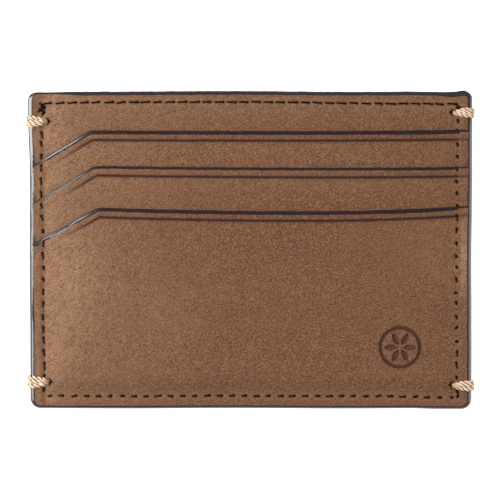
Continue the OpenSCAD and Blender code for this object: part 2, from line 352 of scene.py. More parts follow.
def half_seams(seed, turn):
    """The stitches that show on one half: round the sides and bottom, and along the top."""
    dice = np.random.default_rng(seed)
    sides = []
    for side in (LEFT, RIGHT):
        hidden = 0.31 if side * turn == LEFT else 0.41
        sides.append(shown_stitches(side_holes(side, turn), hidden, hidden, 2, 0.12, dice))
    bottom_holes = level_holes(SEAM_BOTTOM, SEAM_X, BOTTOM_STITCHES)
    bottom_holes[:, 1] += 0.16 - 0.2 * smooth((turn * bottom_holes[:, 0] - 32) / 4)
    bottom = shown_stitches(bottom_holes, 0.34, 0.34, 1, 0.06, dice)
    top_holes = level_holes(0, SEAM_X, BOTTOM_STITCHES)
    top_holes[:, 1] = top_seam_y(top_holes[:, 0])
    tilt = 4 - 6 * smooth((top_holes[:-1, 0] + 42) / 60)
    top = shown_stitches(top_holes, 0.17, 0.2, tilt, 0.05, dice)
    corners = np.array(CORNER_STITCHES) * (turn, 1, turn, 1)
    return {"sides": np.vstack(sides + [bottom, corners]), "top": top}


def to_segments(x, y, rows):
    """Distance from every point to every row's segment."""
    ax, ay, bx, by = rows.T
    dx, dy = bx - ax, by - ay
    px, py = x[:, None] - ax, y[:, None] - ay
    along = np.clip((px * dx + py * dy) / (dx * dx + dy * dy), 0, 1)
    return np.hypot(px - along * dx, py - along * dy)


def sewn_dents(x, y, seams):
    """Depth of the dents under the stitches, the painted shade in the dents, the holes and under the
    thread, and the painted highlight on the raised leather just beside each seam.
    """
    depth, dark, light = (np.zeros(len(x)) for _ in range(3))
    near = np.minimum(EDGE_X - np.abs(x), EDGE_Y - np.abs(y)) < 6
    if not near.any():
        return depth, dark, light
    rows = np.vstack([seams["sides"], seams["top"]])
    px, py = x[near], y[near]
    run = to_segments(px, py, rows).min(1)
    up = np.hypot(px[:, None] - rows[:, 0], py[:, None] - rows[:, 1]).min(1)
    down = np.hypot(px[:, None] - rows[:, 2], py[:, None] - rows[:, 3]).min(1)
    pull = 0.09 * bell(run, 1.0) + 0.09 * bell(run, 0.28) + 0.16 * bell(up, 0.2) + 0.3 * bell(down, 0.27)
    depth[near] = np.minimum(pull, 0.46)
    # Painted shade in the dents, the holes and under the thread
    dark[near] = np.clip(0.7 * bell(up, 0.2) + 1.4 * bell(down, 0.27) + 0.5 * bell(run, 0.2), 0, 1)
    # A painted highlight on the raised leather a little beside each row of stitches
    light[near] = 0.3 * bell(run - 0.62, 0.22)
    return depth, dark, light


# ---- marks pressed into the leather ----

def crease_mark(slot, x, y):
    """The heat crease along a slot edge, a painted highlight on a ridge just below it on the slant,
    and painted shade round it that reaches up towards the slot edge. The crease and its shade fade to
    the left.
    """
    away = below(slot, x, y, CREASE_DOWN)
    reach = (9, 8, 10)[slot]
    fade = 0.2 + 0.8 * smooth((x - SHOULDER_X[slot] + reach) / reach)
    gone = np.where(np.abs(x) < SEAM_X, 1, 0.6)
    ridge_highlight = 0.3 * bell(away - 0.5, 0.25) * smooth((SHOULDER_X[slot] - x) / 2)
    return bell(away, 0.36) * fade * gone, ridge_highlight, 0.14 * bell(away + 0.5, 0.9) * fade


def stamp_mark(x, y):
    """A ring with a rosette of leaves, each a hollow between two arcs."""
    px, py = x - STAMP_AT[0], y - STAMP_AT[1]
    away, angle = np.hypot(px, py), np.arctan2(py, px)
    ring = bell(away - STAMP_R, STAMP_LINE * 0.6)
    step = 2 * math.pi / STAMP_LEAVES
    turned = (angle + step / 2) % step - step / 2
    along, across = away * np.cos(turned) - LEAF_OUT, away * np.sin(turned)
    arc_r = (LEAF_L ** 2 + LEAF_W ** 2) / (4 * LEAF_W)
    inside = arc_r - np.hypot(along, np.abs(across) + arc_r - LEAF_W / 2)
    return np.maximum(ring, smooth(inside / 0.25 + 0.4))


def tack_y(name):
    low, high = box_mm("tack_" + name)
    return (low[1] + high[1]) / 2


def tack_hole_mark(x, y):
    """The diamond holes of an awl, one under each corner tack."""
    mark = np.zeros(len(x))
    for name, side in TACKS.items():
        reach = np.abs(x - side * TACK_HOLE_X) + np.abs(y - tack_y(name))
        mark = np.maximum(mark, smooth((1.0 - reach) / 0.35))
    return mark


def rubbed_and_lit(x, y):
    """Where the nap is lighter. Down the left side it is rubbed lighter and also painted light where the
    light falls from the left, and beside the left seam runs a painted highlight. The margins, the slot
    strips and faint clouds are lighter too, and the top left a little darker.
    """
    # Down the left side: rubbed nap, and painted light where the light falls from the left
    swell = bell(y + 8, 13)
    close = 0.55 * bell(x + 46.5, 3.2) * (1 - 0.7 * swell)
    wide = (0.36 * bell(x + 46, 17) + 0.22 * bell(x + 46, 34)) * (1 - 0.5 * smooth((-y - 29) / 4))
    middle = 0.66 * bell(x + 42, 7) * swell
    left = (close + wide + middle) * smooth((x + SEAM_X) / 0.8)
    # A painted highlight on the ridge just inside the left seam
    line = 0.35 * bell(x + SEAM_X - 0.75, 0.25) * smooth((30 - np.abs(y)) / 4)
    left_margin = 0.62 * smooth((-x - SEAM_X - 0.4) / 0.6) * smooth((31 - y) / 4)
    right_margin = 1.1 * smooth((x - SEAM_X - 0.3) / 0.6) * bell(y + 1, 9)
    right = 0.22 * bell(x - 44, 7) * bell(y + 1, 10)
    strips = 0.1 * smooth((y - 12) / 3) + 0.12 * smooth((y - 29) / 3)
    cloud = 0.22 * bell(x + 22, 10) * bell(y + 14, 9)
    shade = 0.1 * smooth((y - 24) / 4) * smooth((-x - 20) / 10)
    margins = left + line + left_margin + right_margin + right
    return np.clip(margins + strips + (cloud - shade), 0, 1.2)


# ---- meshes ----

def add_piece(name, points, faces, material, marks=None, sharp=40):
    """A mesh object that rides on the wallet. Points are in metres in the shared frame."""
    mesh = bpy.data.meshes.new(name)
    mesh.from_pydata(points, [], faces)
    for mark, values in (marks or {}).items():
        mesh.attributes.new(mark, "FLOAT", "POINT").data.foreach_set("value", values.astype(np.float32))
    mesh.shade_smooth()
    mesh.set_sharp_from_angle(angle=math.radians(sharp))
    mesh.materials.append(material)
    piece = bpy.data.objects.new(name, mesh)
    bpy.context.scene.collection.objects.link(piece)
    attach(piece, "root")
    return piece


def in_frame(points, turn=1):
    """Places a half's points, in millimetres, in the frame. turn is 1 for the front, -1 for the back."""
    x, y = wander(turn * points[:, 0], points[:, 1])
    return np.stack([x, y, MID + turn * points[:, 2]], 1) * MM


def triangles(loop, inner):
    """Fills a loop with triangles through the inner points. Also says where the loop's points are."""
    given = [Vector(p) for p in np.vstack([loop, inner])]
    ring = [(i, (i + 1) % len(loop)) for i in range(len(loop))]
    points, _, faces, origins, _, _ = geometry.delaunay_2d_cdt(given, ring, [], 1, 1e-5)
    used = sorted({i for face in faces for i in face})
    renumber = {old: new for new, old in enumerate(used)}
    where = {source: renumber[i] for i in used for source in origins[i]}
    faces = [[renumber[i] for i in face] for face in faces]
    return np.array([points[i] for i in used]), faces, [where[i] for i in range(len(loop))]


def honeycomb(step):
    rows = np.arange(-EDGE_Y, EDGE_Y, step * 0.866)
    across = np.arange(-EDGE_X, EDGE_X, step)
    return np.vstack([np.stack([across + (step / 2) * (i % 2), np.full(len(across), y)], 1)
                      for i, y in enumerate(rows)])


def thinned(points, loop, apart):
    """Keeps the first point in each small square, and none that crowd the loop."""
    _, first = np.unique(np.floor(points / apart).astype(int), axis=0, return_index=True)
    points = points[np.sort(first)]
    tree = kdtree.KDTree(len(loop))
    for i, (x, y) in enumerate(loop):
        tree.insert((x, y, 0), i)
    tree.balance()
    room = 0.26
    clear = [tree.find((x, y, 0))[2] > room for x, y in points]
    return points[clear]


def closed_sheet(loop, inner, top, bottom):
    """A closed thin solid between two surfaces over a loop. The top's points come first."""
    upper, upper_faces, upper_ring = triangles(loop, inner)
    lower, lower_faces, lower_ring = triangles(loop, thinned(honeycomb(4), loop, 2))
    count = len(upper)
    upper = np.column_stack([upper, top(upper[:, 0], upper[:, 1])])
    lower = np.column_stack([lower, bottom(lower[:, 0], lower[:, 1])])
    faces = upper_faces + [[count + i for i in reversed(face)] for face in lower_faces]
    size = len(loop)
    for i in range(size):
        j = (i + 1) % size
        faces.append([upper_ring[i], count + lower_ring[i], count + lower_ring[j], upper_ring[j]])
    return np.vstack([upper, lower]), faces, count


def stack_of(tubes):
    """Points and faces of tubes with closed ends, each an array of rings of points."""
    points, faces, first = [], [], 0
    for tube in tubes:
        length, around = tube.shape[:2]
        points.append(tube.reshape(-1, tube.shape[2]))
        index = first + np.arange(length * around).reshape(length, around)
        beside = np.roll(index, -1, axis=1)
        quads = np.stack([index[:-1], beside[:-1], beside[1:], index[1:]], -1).reshape(-1, 4)
        faces += quads.tolist() + [index[0][::-1].tolist(), index[-1].tolist()]
        first += length * around
    return np.vstack(points), faces


# ---- materials ----

class Shader:
    """A Principled material and short ways to add nodes to it."""

    def __init__(self, name, **constants):
        self.material = bpy.data.materials.new(name)
        self.material.use_nodes = True
        self.tree = self.material.node_tree
        self.shader = self.tree.nodes["Principled BSDF"]
        for socket, value in constants.items():
            self.shader.inputs[socket.replace("_", " ")].default_value = value
        self.place = self.add("ShaderNodeTexCoord").outputs["Object"]

    def add(self, kind, links=None, **inputs):
        made = self.tree.nodes.new(kind)
        for socket, value in inputs.items():
            made.inputs[socket.replace("_", " ")].default_value = value
        for socket, source in (links or {}).items():
            self.tree.links.new(source, made.inputs[socket])
        return made

    def brushed(self, longer, angle):
        """Coordinates that draw a texture out in one direction, angle degrees from X."""
        mapping = self.add("ShaderNodeMapping", {"Vector": self.place})
        mapping.vector_type = "TEXTURE"
        mapping.inputs["Rotation"].default_value = (0, 0, math.radians(angle))
        mapping.inputs["Scale"].default_value = (longer, 1, 1)
        return mapping.outputs["Vector"]

    def noise(self, per_metre, detail=3, rough=0.55, place=None):
        made = self.add("ShaderNodeTexNoise", {"Vector": place or self.place},
                        Scale=per_metre, Detail=detail, Roughness=rough)
        return made.outputs["Fac"]

    def ramp(self, value, low, high, to_low=0.0, to_high=1.0):
        made = self.add("ShaderNodeMapRange", {"Value": value})
        limits = {"From Min": low, "From Max": high, "To Min": to_low, "To Max": to_high}
        for socket, number in limits.items():
            made.inputs[socket].default_value = number
        return made.outputs["Result"]

    def math(self, operation, a, b):
        made = self.add("ShaderNodeMath")
        made.operation = operation
        for socket, value in zip(made.inputs, (a, b)):
            if isinstance(value, (int, float)):
                socket.default_value = value
            else:
                self.tree.links.new(value, socket)
        return made.outputs["Value"]

    def mix(self, amount, a, b):
        made = self.add("ShaderNodeMix")
        made.data_type = "RGBA"
        # Sockets 6 and 7 are the node's colours, and output 2 is the mixed one
        for index, value in ((0, amount), (6, a), (7, b)):
            if isinstance(value, bpy.types.NodeSocket):
                self.tree.links.new(value, made.inputs[index])
            else:
                made.inputs[index].default_value = value
        return made.outputs[2]

    def mark(self, name):
        made = self.add("ShaderNodeAttribute")
        made.attribute_name = name
        return made.outputs["Fac"]

    def to(self, socket, source):
        self.tree.links.new(source, self.shader.inputs[socket])

    def bump(self, height, distance, strength=1.0, under=None):
        links = {"Height": height}
        if under is not None:
            links["Normal"] = under
        made = self.add("ShaderNodeBump", links, Distance=distance * MM, Strength=strength)
        return made.outputs["Normal"]


def rgb(red, green, blue):
    return (red, green, blue, 1.0)


def leather_material():
    """Oiled nubuck: a short nap with clouds and fine grain, burnt dark in creases and rubbed light.
    The dark mark also holds painted shade in dents, holes and grooves, and the light mark also holds
    painted light and painted highlights.
    """
    s = Shader("nubuck_leather", Sheen_Weight=0.06, Sheen_Roughness=0.45, Specular_IOR_Level=0.22)
    s.shader.inputs["Sheen Tint"].default_value = rgb(0.75, 0.52, 0.38)
    cloud = s.noise(38, 4, 0.6)
    patch = s.noise(210, 3, 0.6)
    nap = s.noise(1500, 3, 0.6, s.brushed(2.4, 50))
    grain = s.noise(2700, 4, 0.65)
    pores = s.noise(4800, 2, 0.5)
    tone = s.mix(s.ramp(cloud, 0.36, 0.64), rgb(0.135, 0.0578, 0.0274), rgb(0.1605, 0.0705, 0.0332))
    tone = s.mix(s.ramp(patch, 0.35, 0.7, 0, 0.35), tone, rgb(0.188, 0.0862, 0.0418))
    # The light mark: rubbed nap with painted light and painted highlights
    rub_and_light = s.math("MULTIPLY", s.mark("rub_and_light"), s.ramp(patch, 0.3, 0.7, 0.78, 1.08))
    tone = s.mix(s.math("MULTIPLY", rub_and_light, 0.9), tone, rgb(0.348, 0.197, 0.113))
    tone = s.mix(s.ramp(nap, 0.4, 0.66, 0, 0.44), tone, rgb(0.084, 0.033, 0.015))
    tone = s.mix(s.ramp(grain, 0.48, 0.62, 0, 0.68), tone, rgb(0.34, 0.173, 0.091))
    tone = s.mix(s.ramp(pores, 0.5, 0.64, 0, 0.88), tone, rgb(0.060, 0.022, 0.010))
    # The dark mark: burnt creases, a darker band above the bottom seam, and painted shade in dents,
    # holes and grooves
    tone = s.mix(s.mark("burn_and_shade"), tone, rgb(0.026, 0.0035, 0.004))
    s.to("Base Color", tone)
    s.to("Roughness", s.ramp(grain, 0.3, 0.7, 0.66, 0.86))
    soft = s.bump(s.noise(420, 4, 0.6), 0.05, 0.5)
    s.to("Normal", s.bump(grain, 0.04, 0.7, soft))
    return s.material


def paint_material():
    """Burnished edge paint: near black and glossy, with slight streaks and pits, dull where marked."""
    s = Shader("edge_paint")
    worn = s.noise(700, 4, 0.6)
    fade = s.ramp(worn, 0.5, 0.75, 0, 0.6)
    s.to("Base Color", s.mix(fade, rgb(0.015, 0.008, 0.0085), rgb(0.025, 0.015, 0.016)))
    dull = s.mark("dull")
    s.to("Roughness", s.math("ADD", s.ramp(worn, 0.3, 0.7, 0.08, 0.16), s.math("MULTIPLY", dull, 0.2)))
    s.to("Specular IOR Level", s.ramp(dull, 0, 1, 1.0, 0.3))
    streaks = s.noise(500, 2, 0.5)
    s.to("Normal", s.bump(streaks, 0.05, 0.25, s.bump(s.noise(2600, 2, 0.5), 0.01, 0.35)))
    return s.material


def woven_material(name, dark, light, period):
    """A plain weave whose threads are period millimetres apart."""
    s = Shader(name, Roughness=0.85, Specular_IOR_Level=0.2)
    bands = 2 * math.pi / (20 * period * MM)
    waves = []
    for direction in ("X", "Y"):
        wave = s.add("ShaderNodeTexWave", {"Vector": s.place}, Scale=bands, Distortion=0.6)
        wave.bands_direction = direction
        waves.append(wave.outputs["Fac"])
    weave = s.math("MULTIPLY", *waves)
    tone = s.mix(s.ramp(weave, 0.1, 0.8), dark, light)
    tone = s.mix(s.ramp(s.noise(900), 0.4, 0.7, 0, 0.35), tone, dark)
    s.to("Base Color", tone)
    s.to("Normal", s.bump(weave, 0.06, 0.7))
    return s.material


def yarn_material(name, dark, light, yarn_shade, gloss, fuzz):
    """Spun yarn: fine fibres, with painted shade in the grooves between the plies and near the hole."""
    s = Shader(name, Specular_IOR_Level=gloss, Sheen_Weight=fuzz, Sheen_Roughness=0.4)
    fibres = s.noise(5200, 3, 0.7)
    stain = s.noise(800, 3, 0.6)
    tone = s.mix(s.ramp(fibres, 0.35, 0.65), dark, light)
    tone = s.mix(s.ramp(stain, 0.5, 0.72, 0, 0.5), tone, dark)
    # Painted shade in the ply grooves and near the hole
    tone = s.mix(s.mark("yarn_shade"), tone, yarn_shade)
    s.to("Base Color", tone)
    s.to("Roughness", s.ramp(fibres, 0.3, 0.7, 0.5, 0.8))
    s.to("Normal", s.bump(fibres, 0.03, 0.6))
    return s.material


NUBUCK = leather_material()
PAINT = paint_material()
TEXTILE = woven_material("lining_weave", rgb(0.020, 0.013, 0.011), rgb(0.055, 0.040, 0.032), 0.4)
TAPE = woven_material("tape_weave", rgb(0.040, 0.026, 0.020), rgb(0.090, 0.062, 0.048), 0.6)
# The third colour of each yarn is the colour of its painted shade
THREAD = yarn_material("brown_thread", rgb(0.0042, 0.0014, 0.001), rgb(0.015, 0.0046, 0.0034),
                       rgb(0.003, 0.001, 0.0008), 0.06, 0.0)
CORD = yarn_material("cream_cord", rgb(0.66, 0.47, 0.30), rgb(0.90, 0.76, 0.60), rgb(0.34, 0.16, 0.055),
                     0.4, 0.2)

HALVES = {
    "front": {"turn": 1, "seams": half_seams(11, 1), "stamped": True},
    "back": {"turn": -1, "seams": half_seams(29, -1), "stamped": False},
}


# ---- leather ----

def rows_below(slot, offsets):
    """Rows of points that follow a slot edge at several distances below it."""
    x = np.arange(-EDGE_X, EDGE_X, 0.45)
    return np.vstack([np.stack([x, slot_line(slot, x, down)], 1) for down in offsets])


def seam_rows(turn):
    """Rows of points along and beside every seam, close enough together to carry its dents."""
    offsets = (0, -0.2, 0.2, -0.42, 0.42, -0.72, 0.72, -1.1, 1.1)
    x = np.arange(-SEAM_X - 1, SEAM_X + 1, 0.26)
    y = np.arange(SEAM_BOTTOM - 1, SEAM_TOP + 1, 0.26)
    rows = []
    for offset in offsets:
        rows += [np.stack([x, np.full(len(x), line + offset)], 1) for line in (SEAM_BOTTOM, SEAM_TOP)]
        rows += [np.stack([seam_x(side, y, turn) + offset, y], 1) for side in (LEFT, RIGHT)]
    return np.vstack(rows)


def small_grid(at, reach, step):
    line = np.arange(-reach, reach, step)
    grid = np.stack(np.meshgrid(line, line), -1).reshape(-1, 2)
    return grid + np.array(at)


def tack_grids():
    return np.vstack([small_grid((side * TACK_HOLE_X, tack_y(name)), 1.2, 0.17)
                      for name, side in TACKS.items()])


def leather_surface(half, slot, level, underside):
    """The worked surface of one leather layer: its top, its underside and its marks."""
    def carve(x, y):
        depth, dark, light = sewn_dents(x, y, half["seams"])
        if slot is not None:
            # The crease is burnt dark; round it is painted shade, and below it on the slant a painted
            # highlight
            crease, ridge_highlight, crease_shade = crease_mark(slot, x, y)
            depth = depth + CREASE_DEPTH * crease
            dark = np.maximum(dark, np.maximum(crease, crease_shade))
            light = light + ridge_highlight
        if slot == LOWER:
            # A faint darker band just above the bottom seam
            above_seam = 0.13 * bell(y + 30.9, 1.6)
            dark = np.maximum(dark, above_seam)
        if slot == LOWER and half["stamped"]:
            stamp = stamp_mark(x, y)
            depth = depth + STAMP_DEPTH * stamp
            # The stamp is darkened with painted shade in its grooves, most on their walls
            dark = np.maximum(dark, 0.5 * stamp + 2.0 * stamp * (1 - stamp))
        hole = tack_hole_mark(x, y)
        depth = np.minimum(depth + HOLE_DEPTH * hole, HOLE_DEPTH)
        # Painted shade in the awl holes
        dark = np.maximum(dark, hole)
        return depth, dark, light

    def top(x, y):
        return settle(x, y, level(y)) - carve(x, y)[0]

    def bottom(x, y):
        return settle(x, y, underside(y))

    return top, bottom, carve


def leather_layer(half_name, node, slot, edge, level, underside, seen_to, floor=None):
    """One leather layer as a closed sheet, worked finely where it can be seen."""
    half = HALVES[half_name]
    loop = layer_loop(edge, 0.42, floor)
    fine = [seam_rows(half["turn"]), tack_grids()]
    if slot is not None:
        beside = np.array([0, -0.14, 0.14, -0.28, 0.28, -0.5, 0.5])
        fine.append(rows_below(slot, CREASE_DOWN + beside))
    if slot == LOWER and half["stamped"]:
        fine.insert(0, small_grid(STAMP_AT, STAMP_R + 0.6, 0.15))
    fine.append(honeycomb(0.85))
    fine = np.vstack(fine)
    fine = fine[fine[:, 1] > seen_to(fine[:, 0]) - 0.6]
    coarse = honeycomb(3.2)
    coarse = coarse[coarse[:, 1] < seen_to(coarse[:, 0]) - 1.5]
    inner = np.vstack([thinned(fine, loop, 0.13), thinned(coarse, loop, 1)])
    top, bottom, carve = leather_surface(half, slot, level, underside)
    points, faces, count = closed_sheet(loop, inner, top, bottom)
    _, dark, light = carve(points[:count, 0], points[:count, 1])
    under = len(points) - count
    # The top's marks: burns with painted shade, and rubbing with painted light and painted highlights
    burn_and_shade = np.concatenate([dark, np.zeros(under)])
    rub_and_light = np.concatenate([light + rubbed_and_lit(points[:count, 0], points[:count, 1]), np.zeros(under)])
    name = f"{half_name}_{node}"
    piece = add_piece(name + "_leather", in_frame(points, half["turn"]), faces, NUBUCK,
                      {"burn_and_shade": burn_and_shade, "rub_and_light": rub_and_light})
    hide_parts(name)


def constant(value):
    """A rule that gives the same number everywhere."""
    return lambda at: np.full(np.shape(at), value)


def slot_edge_below_paint(slot):
    return lambda x: slot_line(slot, x) - (bead_width(slot, x) - LAP) * np.hypot(1, slot_slope(slot, x))


def mouth_line(x):
    """Where the paint on a panel's top edge begins."""
    return EDGE_Y - rim_width(x)


def panel_top(x):
    return mouth_line(x) + LAP


def make_leather(half_name):
    leather_layer(half_name, "panel", None, panel_top, constant(PANEL[1]), constant(PANEL[0]),
                  lambda x: slot_line(UPPER, x))
    for slot in (UPPER, MIDDLE):
        low, high = STRIPS[slot]
        leather_layer(half_name, "pocket_" + SLOTS[slot], slot, slot_edge_below_paint(slot),
                      constant(high), constant(low), lambda x: slot_line(slot + 1, x),
                      STRIP_END[slot])
    leather_layer(half_name, "pocket_lower", LOWER, slot_edge_below_paint(LOWER), pocket_top,
                  lambda y: pocket_top(y) - LEATHER_T, constant(-EDGE_Y))


# ---- linings, backings and seam tapes ----

def plain_layer(name, node, turn, loop, low, thickness, material):
    """A thin layer between the leather ones."""
    points, faces, _ = closed_sheet(
        loop, thinned(honeycomb(3.2), loop, 1),
        lambda x, y: settle(x, y, low(y) + thickness), lambda x, y: settle(x, y, low(y)))
    piece = add_piece(name, in_frame(points, turn), faces, material)
    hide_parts(node)
    return piece


def textile_layer(half_name, layer, edge, low):
    node = f"{half_name}_{layer}"
    loop = layer_loop(edge, 1.2)
    piece = plain_layer(node + "_cloth", node, HALVES[half_name]["turn"], loop, low,
                        TEXTILE_T, TEXTILE)


def tape_loop(edge):
    """A strip as wide as a tape, down one side, along the bottom and up the other side."""
    step = 1.2
    points, normals = outline(step)
    outer = points - normals * (coat_width(points, normals) - TUCK / 2)[:, None]
    outer = outer[outer[:, 1] < edge(outer[:, 0]) - 0.2]
    x, y = EDGE_X - TAPE_W, TAPE_W - EDGE_Y
    up_right = np.arange(edge(np.array([x]))[0] - 0.4, y, -step)
    across = np.arange(x, -x, -step)
    up_left = np.arange(y, edge(np.array([-x]))[0] - 0.4, step)
    inner = [np.stack([np.full(len(up_right), x), up_right], 1),
             np.stack([across, np.full(len(across), y)], 1),
             np.stack([np.full(len(up_left), -x), up_left], 1)]
    return np.vstack([outer] + inner)


def tape_layer(node, turn, edge, low):
    plain_layer(node + "_strip", node, turn, tape_loop(edge), low, TAPE_T, TAPE)


def make_textiles(half_name):
    textile_layer(half_name, "lining", mouth_line, constant(LINING[0]))
    textile_layer(half_name, "backing_upper", lambda x: slot_line(UPPER, x, BACKING_DOWN),
                  constant(levels("backing_upper")[0]))
    low, high = levels("backing_middle")
    textile_layer(half_name, "backing_middle", lambda x: slot_line(MIDDLE, x, BACKING_DOWN),
                  lambda y: stepping(y, INNER_BEND, high - TEXTILE_T, low))


def make_tapes(half_name):
    for slot, bend in ((UPPER, INNER_BEND), (MIDDLE, INNER_BEND), (LOWER, OUTER_BEND)):
        low, high = levels("seam_tape_" + SLOTS[slot])
        tape_layer(f"{half_name}_seam_tape_{SLOTS[slot]}", HALVES[half_name]["turn"],
                   lambda x: slot_line(slot, x, 1),
                   lambda y: stepping(y, bend, high - TAPE_T, low))


# ---- edge paint ----

def bead(edge_points, normals, widths, low, high):
    """Rings of a painted edge: a domed front from the top lip to the bottom one."""
    turns = np.radians(np.linspace(90, -90, 17))
    out = np.cos(turns)
    up = np.sin(turns) * np.abs(np.sin(turns)) ** 0.8
    middle, half_t = (high + low) / 2, (high - low) / 2
    offset = widths[:, None] * (out - 1)
    plan = edge_points[:, None, :] + normals[:, None, :] * offset[:, :, None]
    z = middle[:, None] + half_t[:, None] * up
    rings = np.concatenate([plan, z[:, :, None]], axis=2)
    return rings[:, ::-1]


def waver(x, seed, amount):
    """Slight unevenness of hand-laid paint along an edge."""
    waves = np.sin(x * 0.83 + seed) + 0.6 * np.sin(x * 2.1 + 2 * seed) + 0.4 * np.sin(x * 4.7 + seed)
    return amount * waves


def slot_bead(half_name, slot):
    turn = HALVES[half_name]["turn"]
    far = EDGE_X - 0.75
    x = np.concatenate([np.arange(-far, SHOULDER_X[slot] - 3, 0.5),
                        np.arange(SHOULDER_X[slot] - 3, SHOULDER_X[slot] + 3, 0.2),
                        np.arange(SHOULDER_X[slot] + 3, far, 0.5)])
    slope = slot_slope(slot, x)
    edge = np.stack([x, slot_line(slot, x) + waver(x, slot + turn, 0.025)], 1)
    normals = np.stack([-slope, np.ones(len(x))], 1) / np.hypot(1, slope)[:, None]
    low, high = STRIPS[slot] if slot < LOWER else (POCKET[1] - LEATHER_T, POCKET[1])
    low_z = settle(edge[:, 0], edge[:, 1], low - TEXTILE_T / 2)
    high_z = settle(edge[:, 0], edge[:, 1], high) + 0.035
    rings = bead(edge, normals, bead_width(slot, x), low_z, high_z)
    points, faces = stack_of([rings])
    across = points[:, 0]
    near_shoulder = smooth((across - SHOULDER_X[slot] + 4.2) / 3.5)
    past_seam = smooth((-0.1 - SEAM_X - across) / 0.8)
    dull = np.maximum(near_shoulder, past_seam)
    add_piece(f"{half_name}_slot_{SLOTS[slot]}_edge", in_frame(points, turn), faces, PAINT,
              {"dull": dull})


def mouth_bead(half_name):
    """The paint on a panel's top edge, at the mouth of the centre pocket."""
    turn = HALVES[half_name]["turn"]
    far = EDGE_X - TOP_R + 0.3
    x = np.arange(-far, far, 0.5)
    edge = np.stack([x, EDGE_Y + waver(x, 3 + turn, 0.03)], 1)
    normals = np.tile([0.0, 1.0], (len(x), 1))
    low_z = settle(x, edge[:, 1], LINING[0])
    high_z = settle(x, edge[:, 1], PANEL[1]) + 0.05
    widths = rim_width(turn * x)
    points, faces = stack_of([bead(edge, normals, widths, low_z, high_z)])
    add_piece(f"{half_name}_mouth_edge", in_frame(points, turn), faces, PAINT)


def coat_heights(points, normals):
    """Height of the coat's lips on the front and on the back, just over the leather that they meet."""
    inside = points - normals * (coat_width(points, normals) + 0.2)[:, None]
    front = even_height(inside[:, 0], inside[:, 1], 2.2)
    back = even_height(-inside[:, 0], inside[:, 1], 2.2)
    return front + COAT_LIP, back + COAT_LIP


def edge_coat():
    """The painted edge right round the sides and bottom, over all the layers of both halves."""
    points, normals = outline(0.5)
    width = coat_width(points, normals)
    front, back = coat_heights(points, normals)
    travel = np.cumsum(np.hypot(*np.diff(points, axis=0, prepend=points[:1]).T))
    width = width + waver(travel, 1, 0.022)
    front_round = np.minimum(COAT_ROUND, 0.92 * front)
    back_round = np.minimum(COAT_ROUND, 0.92 * back)
    turns = np.radians(np.linspace(0, 90, 10))
    reach, drop = np.sin(turns) - 1, 1 - np.cos(turns)
    share = np.linspace(0, 1, 27)[1:-1]
    rings = []
    for i in range(len(points)):
        top = np.stack([width[i] * reach, front[i] - front_round[i] * drop], 1)
        low = np.stack([width[i] * reach, -back[i] + back_round[i] * drop], 1)[::-1]
        z = (front[i] - front_round[i]) * (1 - share) + (back_round[i] - back[i]) * share
        side = np.stack([side_relief(points[i], travel[i], z), z], 1)
        section = np.vstack([top, side, low])
        plan = points[i] + normals[i] * section[:, :1]
        rings.append(np.column_stack([plan, section[:, 1]]))
    shape, faces = stack_of([np.array(rings)])
    handled = 0.4 * bell(shape[:, 1] - 5, 17) * smooth(-shape[:, 0] - 48)
    add_piece("edge_coat", in_frame(shape), faces, PAINT, {"dull": handled}, sharp=50)


def side_relief(point, travel, z):
    """How far the painted side stands off its line: shallow valleys where two layers meet."""
    joints = (0, PANEL[1], STRIPS[UPPER][1], STRIPS[MIDDLE][1])
    relief = np.zeros(len(z))
    for joint in joints:
        level = settle(*point, joint)
        depth = 0.06 + 0.03 * math.sin(travel * 0.9 + 5 * joint)
        for way in (1, -1):
            relief -= depth * bell(z - way * level, 0.13)
    return relief


# ---- threads and tacks ----

def curve_through(points, step):
    """Evenly spaced points on a smooth curve through the given ones."""
    points = np.array(points, float)
    padded = np.vstack([2 * points[0] - points[1], points, 2 * points[-1] - points[-2]])
    t = np.linspace(0, 1, 12, endpoint=False)[:, None]
    pieces = []
    for a, b, c, d in zip(padded, padded[1:], padded[2:], padded[3:]):
        pieces.append(0.5 * (2 * b + (c - a) * t + (2 * a - 5 * b + 4 * c - d) * t ** 2
                             + (3 * b - a - 3 * c + d) * t ** 3))
    dense = np.vstack(pieces + [points[-1:]])
    length = np.concatenate([[0], np.cumsum(np.linalg.norm(np.diff(dense, axis=0), axis=1))])
    at = np.linspace(0, length[-1], max(3, int(length[-1] / step) + 1))
    return np.stack([np.interp(at, length, dense[:, i]) for i in range(3)], 1)


def unit(vectors):
    return vectors / np.linalg.norm(vectors, axis=1)[:, None]


def twisted(path, across, plies, ply_r, helix_r, pitch, sides, start=0.0):
    """Tubes of the plies of a cord twisted along a path, with how deep in the grooves each point lies.

    across is a direction roughly square to the path.
    """
    ahead = unit(np.gradient(path, axis=0))
    across = np.tile(np.array(across, float), (len(path), 1))
    across = unit(across - ahead * (across * ahead).sum(1)[:, None])
    over = np.cross(ahead, across)
    travel = np.concatenate([[0], np.cumsum(np.linalg.norm(np.diff(path, axis=0), axis=1))])
    around = np.linspace(0, 2 * math.pi, sides, endpoint=False)
    tubes = []
    for ply in range(plies):
        phase = 2 * math.pi * (travel / pitch + ply / plies) + start
        centre = helix_r * (np.cos(phase)[:, None] * across + np.sin(phase)[:, None] * over)
        ring = (np.cos(around)[None, :, None] * across[:, None, :]
                + np.sin(around)[None, :, None] * over[:, None, :])
        from_axis = centre[:, None, :] + ply_r * ring
        away = np.linalg.norm(from_axis, axis=2, keepdims=True)
        deep = smooth((helix_r + 0.75 * ply_r - away) / (0.75 * ply_r))
        tubes.append(np.concatenate([path[:, None, :] + from_axis, deep], axis=2))
    return tubes


